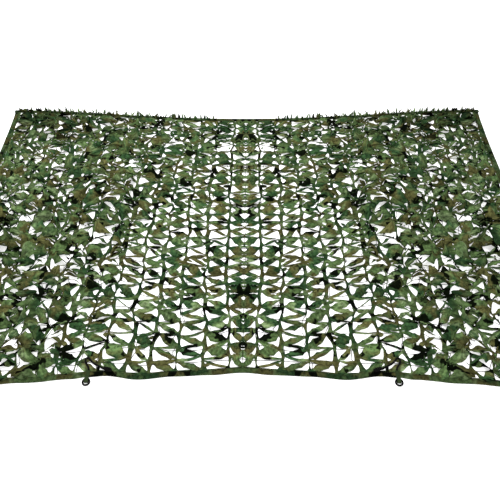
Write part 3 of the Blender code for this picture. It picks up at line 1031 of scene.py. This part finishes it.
across = [2 * HALF_WIDTH * k / 300 - HALF_WIDTH for k in range(301)]
side_end = HALF_DEPTH - TAPE_WIDTH - CORNER_GAP
depths = [side_end * (2 * k / 190 - 1) for k in range(191)]
EDGES = {
    "front": ([Vector((x, front_edge(x), 0)) for x in across], Vector((0, 1, 0))),
    "rear": ([Vector((x, rear_edge(x), 0)) for x in across], Vector((0, -1, 0))),
    "left": ([Vector((-side_edge(y), y, 0)) for y in depths], Vector((1, 0, 0))),
    "right": ([Vector((side_edge(y), y, 0)) for y in depths], Vector((-1, 0, 0))),
}
for word, (path, inward) in EDGES.items():
    tape = tape_mesh("tape_" + word, path, inward)
    ride(tape, "binding_" + word, slot="binding_tape", material=tape_print)

seams = line_mesh("seam_stitches", [
    [p + inward * (TAPE_WIDTH - SEAM_INSET) + Vector((0, 0, TAPE_TOP - 0.0006)) for p in path]
    for path, inward in EDGES.values()])
seam_stitches = apply_tree(seams, *stitch_tree(thread), {"Pitch": 0.008, "Stitch length": 0.0055,
                                                         "Thread radius": 0.0005})
ride(seam_stitches, slot="binding_tape")

# %% [markdown]
# ## Rings and their webbing tabs
#
# A tab is a short webbing strap through the ring, with both of its tails sewn down on the tape. The
# loop is slack, so it shows inside the ring. The ring leans a little, its front bar near the ground.

# %% Rings and tabs
TAB_ACROSS = 0.642
TAB_WIDTH = 0.016
WEBBING = 0.0012
TAIL = 0.031
TAB_CLEAR = 0.0018
RING_BAR = 0.008
RING_RADIUS = 0.0140
RING_TILT = math.radians(2.5)
RING_SLACK = 0.0010
LOOP_SLACK = 0.0128          # how far the loop hangs into the ring
TAIL_GAP = 0.0004            # between the tape and the tab's tail
EDGE_Y = front_edge(TAB_ACROSS)
BAR_Y = EDGE_Y - TAB_CLEAR - WEBBING - RING_BAR / 2 - RING_SLACK
BAR_Z = WEBBING + RING_BAR / 2 + RING_SLACK


def tab_line():
    """Side view of the strap's middle: from one tail's end, round the bar, to the other's."""
    low = TAPE_TOP + TAIL_GAP + WEBBING / 2
    high = low + WEBBING
    around = RING_BAR / 2 + RING_SLACK * 0.6 + WEBBING / 2
    line = [(EDGE_Y + TAIL, low), (EDGE_Y + 0.020, low), (EDGE_Y + 0.010, low), (EDGE_Y + 0.001, low)]
    for degrees in (35, 0, -40, -80):
        angle = math.radians(degrees)
        line.append((BAR_Y + around * math.cos(angle), BAR_Z + around * math.sin(angle)))
    for degrees in (-100, -140, 180, 140, 105):
        angle = math.radians(degrees)
        line.append((BAR_Y - LOOP_SLACK + around * math.cos(angle),
                     BAR_Z + around * 0.85 * math.sin(angle)))
    line += [(BAR_Y + 0.001, BAR_Z + around + 0.0004), (EDGE_Y + 0.001, high + 0.0003)]
    line += [(EDGE_Y + 0.010, high), (EDGE_Y + 0.020, high), (EDGE_Y + TAIL, high)]
    return [Vector((0, y, max(z, WEBBING / 2 + 0.0001))) for y, z in line]


def even_points(route, spacing):
    """Even points along a smooth curve through the given points."""
    ends = [route[0] * 2 - route[1]] + route + [route[-1] * 2 - route[-2]]
    fine = []
    for a, b, c, d in zip(ends, ends[1:], ends[2:], ends[3:]):
        for i in range(16):
            t = i / 16
            fine.append(0.5 * (2 * b + (c - a) * t + (2 * a - 5 * b + 4 * c - d) * t * t
                               + (3 * b - a - 3 * c + d) * t ** 3))
    fine.append(route[-1])
    lengths = [0.0]
    for a, b in zip(fine, fine[1:]):
        lengths.append(lengths[-1] + (b - a).length)
    count = max(round(lengths[-1] / spacing), 1)
    even, k = [], 1
    for i in range(count + 1):
        target = lengths[-1] * i / count
        while k < len(lengths) - 1 and lengths[k] < target:
            k += 1
        t = (target - lengths[k - 1]) / (lengths[k] - lengths[k - 1])
        even.append(fine[k - 1].lerp(fine[k], min(t, 1.0)))
    return even


def strap(name, line, x, width, thick):
    """A flat strap whose middle follows a line in the YZ plane."""
    places = []
    shape = [(-0.5, 0.3), (-0.46, 0.5), (0, 0.5), (0.46, 0.5), (0.5, 0.3), (0.5, -0.3), (0.46, -0.5),
             (0, -0.5), (-0.46, -0.5), (-0.5, -0.3)]
    for k, point in enumerate(line):
        ahead = line[min(k + 1, len(line) - 1)] - line[max(k - 1, 0)]
        up = Vector((0, -ahead.z, ahead.y)).normalized()
        for a, b in shape:
            places.append(point + Vector((x + a * width, 0, 0)) + up * b * thick)
    n = len(shape)
    made = add_mesh(name, places, swept_faces(n, len(line)))
    face_outwards(made)
    lay_flat(made, "Strap", lambda k: (shape[k % n][0] * width, k // n * 0.0015))
    made.data.shade_smooth()
    return made


def webbing_finish():
    """Olive polypropylene webbing, woven in a herringbone."""
    material, tree, shader = new_finish("Polypropylene webbing", "#2b3720", 0.8)
    place = node(tree, "ShaderNodeUVMap", {"uv_map": "Strap"})
    mirror = maths(tree, "ABSOLUTE", place, vector=True)
    wave = node(tree, "ShaderNodeTexWave", {"bands_direction": "DIAGONAL"}, Vector=mirror, Scale=160.0)
    bump = node(tree, "ShaderNodeBump", Height=wave.outputs["Fac"], Strength=0.5, Distance=0.0004)
    set_inputs(shader, Normal=bump)
    return material


def ring_finish():
    """Black enamelled steel, a little worn."""
    material, tree, shader = new_finish("Black enamelled steel", "#060606", 0.45)
    place = node(tree, "ShaderNodeTexCoord").outputs["Object"]
    wear = node(tree, "ShaderNodeTexNoise", Vector=place, Scale=260.0, Detail=3.0)
    rough = node(tree, "ShaderNodeMapRange", Value=wear, To_Min=0.35, To_Max=0.6)
    set_inputs(shader, Roughness=rough)
    return material


def torus_mesh(name, centre, radius, bar, tilt_by, around=96, sides=20):
    """A round ring about the vertical, tilted about X."""
    places, faces_made = [], []
    turn_by = Matrix.Rotation(tilt_by, 3, "X")
    for i in range(around):
        a = 2 * math.pi * i / around
        for m in range(sides):
            b = 2 * math.pi * m / sides
            reach = radius + bar / 2 * math.cos(b)
            local = Vector((reach * math.cos(a), reach * math.sin(a), bar / 2 * math.sin(b)))
            places.append(centre + turn_by @ local)
    for i in range(around):
        for m in range(sides):
            n, o = (i + 1) % around, (m + 1) % sides
            faces_made.append((i * sides + m, n * sides + m, n * sides + o, i * sides + o))
    made = add_mesh(name, places, faces_made)
    made.data.shade_smooth()
    return made


webbing = webbing_finish()
enamel = ring_finish()
strap_line = even_points(tab_line(), 0.0012)
tabs, box_lines = [], []
for word, side in (("left", -1), ("right", 1)):
    x = side * TAB_ACROSS
    tab = strap("tab_" + word, strap_line, x, TAB_WIDTH, WEBBING * 0.96)
    ride(tab, "ring_tab_" + word, slot="tab_webbing", material=webbing)
    tabs.append(tab)
    centre = Vector((x, BAR_Y - RING_RADIUS * math.cos(RING_TILT),
                     BAR_Z - RING_RADIUS * math.sin(RING_TILT)))
    ring = torus_mesh("steel_ring_" + word, centre, RING_RADIUS, RING_BAR, RING_TILT)
    ride(ring, "ring_" + word, slot="ring_steel", material=enamel)
    top = TAPE_TOP + TAIL_GAP + 2 * WEBBING
    y0, y1 = EDGE_Y + 0.006, EDGE_Y + 0.027
    half = TAB_WIDTH / 2 - 0.002
    corners = [Vector((x - half, y0, top)), Vector((x + half, y0, top)),
               Vector((x + half, y1, top)), Vector((x - half, y1, top))]
    box_lines.append(corners + [corners[0], corners[2]])
    box_lines.append([corners[1], corners[3]])
tab_stitches = apply_tree(line_mesh("tab_stitches", box_lines), *stitch_tree(thread),
                          {"Pitch": 0.0030, "Stitch length": 0.0022, "Thread radius": 0.00035})
ride(tab_stitches, slot="tab_webbing")

# %% [markdown]
# ## Tie cords and their knots
#
# Each cord comes out of the tab, runs back over the leaves, turns and lies down towards its barrel
# knot: the cord wound round itself three and a half times and pulled tight, its end cut short.

# %% Tie cords
CORD = 0.008
KNOT_LENGTH = 0.040
KNOT_RADIUS = 0.0095
KNOT_WRAPS = 3.5
WRAP_POINTS = 110
WRAP_LENGTH = 0.0290
CORE_END = 0.0185            # how far the cord inside the knot reaches from its middle
SOLID_CLOTH = 0.0010         # half the thickness of the cloth in the solids
TOUCHING = 0.0003            # the gap that touching solids keep
CORD_ON_CLOTH = CLOTH_MID + SOLID_CLOTH + TOUCHING + CORD / 2
CORD_ROUTE = (
    {"across": 0.6420, "back": 0.0326, "rise": 0.0000},
    {"across": 0.6450, "back": 0.0430, "rise": 0.0000},
    {"across": 0.6540, "back": 0.0570, "rise": 0.0000},
    {"across": 0.6625, "back": 0.0710, "rise": 0.0000},
    {"across": 0.6630, "back": 0.0840, "rise": 0.0000},
    {"across": 0.6540, "back": 0.0890, "rise": 0.0000},
    {"across": 0.6440, "back": 0.0790, "rise": 0.0000},
    {"across": 0.6340, "back": 0.0680, "rise": 0.0000},
    {"across": 0.6210, "back": 0.0590, "rise": 0.0003},
    {"across": 0.6080, "back": 0.0515, "rise": 0.0008},
    {"across": 0.5940, "back": 0.0440, "rise": 0.0025},
    {"across": 0.5800, "back": 0.0375, "rise": 0.0050},
)
KNOT_TURN = math.radians(-17)


def tube(name, lines, radius, sides=16):
    """Round cord along each line, with a UV map of its length and girth."""
    places, faces_made, uvs = [], [], []
    for line in lines:
        first = len(places)
        ahead = (line[1] - line[0]).normalized()
        across_it = ahead.orthogonal().normalized()
        run = 0.0
        for k, point in enumerate(line):
            tangent = (line[min(k + 1, len(line) - 1)] - line[max(k - 1, 0)]).normalized()
            across_it = (across_it - tangent * across_it.dot(tangent)).normalized()
            up = tangent.cross(across_it)
            run += (point - line[k - 1]).length if k else 0.0
            for m in range(sides):
                a = 2 * math.pi * m / sides
                places.append(point + (across_it * math.cos(a) + up * math.sin(a)) * radius)
                uvs.append((run, m / sides))
        faces_made += swept_faces(sides, len(line), first)
    made = add_mesh(name, places, faces_made)
    layer = made.data.uv_layers.new(name="Cord")
    for face in made.data.polygons:
        girths = [uvs[v][1] for v in face.vertices]
        for loop in face.loop_indices:
            run, girth = uvs[made.data.loops[loop].vertex_index]
            wraps = girth + 1.0 if max(girths) - girth > 0.5 and len(face.vertices) == 4 else girth
            layer.data[loop].uv = (run, wraps)
    made.data.shade_smooth()
    return made


def braid_finish():
    """Black braided polyester cord."""
    material, tree, shader = new_finish("Braided polyester cord", "#171717", 0.55)
    place = node(tree, "ShaderNodeUVMap", {"uv_map": "Cord"})
    waves = []
    for way in (1.0, -1.0):
        lean = node(tree, "ShaderNodeMapping", Vector=place, Scale=(160.0, 4.0 * way, 1.0))
        apart = node(tree, "ShaderNodeSeparateXYZ", _0=lean)
        total = maths(tree, "ADD", apart.outputs[0], apart.outputs[1])
        waves.append(maths(tree, "SINE", maths(tree, "MULTIPLY", total, 2 * math.pi)))
    both = maths(tree, "MULTIPLY", *waves)
    bump = node(tree, "ShaderNodeBump", Height=both, Strength=0.6, Distance=0.0006)
    # The braid's crowns are painted a little lighter, as highlight, and its grooves darker, as shade.
    shade = node(tree, "ShaderNodeMapRange", Value=both, From_Min=-1.0)
    colour = node(tree, "ShaderNodeMix", {"data_type": "RGBA"}, Factor=shade, A=srgb("#030303"),
                  B=srgb("#100f0e"))
    set_inputs(shader, Base_Color=colour.outputs[2], Normal=bump)
    return material


braid = braid_finish()
cords, knots = [], []
for word, side in (("left", -1), ("right", 1)):
    route = [Vector((side * row["across"], EDGE_Y + row["back"], CORD_ON_CLOTH + row["rise"]))
             for row in CORD_ROUTE]
    last = route[-1]
    along = Vector((-side * math.cos(KNOT_TURN), math.sin(KNOT_TURN), 0))
    centre = last + along * (KNOT_LENGTH / 2 + TOUCHING)
    centre.z = TAPE_TOP + TOUCHING + KNOT_RADIUS
    inside = centre - along * (KNOT_LENGTH / 2 - 0.004)
    run = even_points(route + [inside], 0.0025)
    cord = tube("cord_" + word, [run], CORD / 2)
    ride(cord, "tie_cord_" + word, slot="tie_cord", material=braid)
    cords.append((cord, run, route[0]))
    turn_to = along.to_track_quat("Z", "Y").to_matrix()
    wrap = []
    cord_radius = CORD / 2 - 0.0002
    for k in range(WRAP_POINTS):
        t = k / (WRAP_POINTS - 1)
        taper = 1 - 0.30 * abs(2 * t - 1) ** 4
        angle = 2 * math.pi * KNOT_WRAPS * t
        reach = (KNOT_RADIUS - cord_radius) * taper
        local = Vector((reach * math.cos(angle), reach * math.sin(angle), (t - 0.5) * WRAP_LENGTH))
        wrap.append(centre + turn_to @ local)
    core = [centre + turn_to @ Vector((0, 0, z)) for z in (-CORE_END, -0.009, 0.0, 0.009, CORE_END)]
    knot = tube("knot_" + word, [wrap, core], cord_radius, 12)
    ride(knot, "tie_knot_" + word, slot="tie_cord", material=braid)
    knots.append(knot)
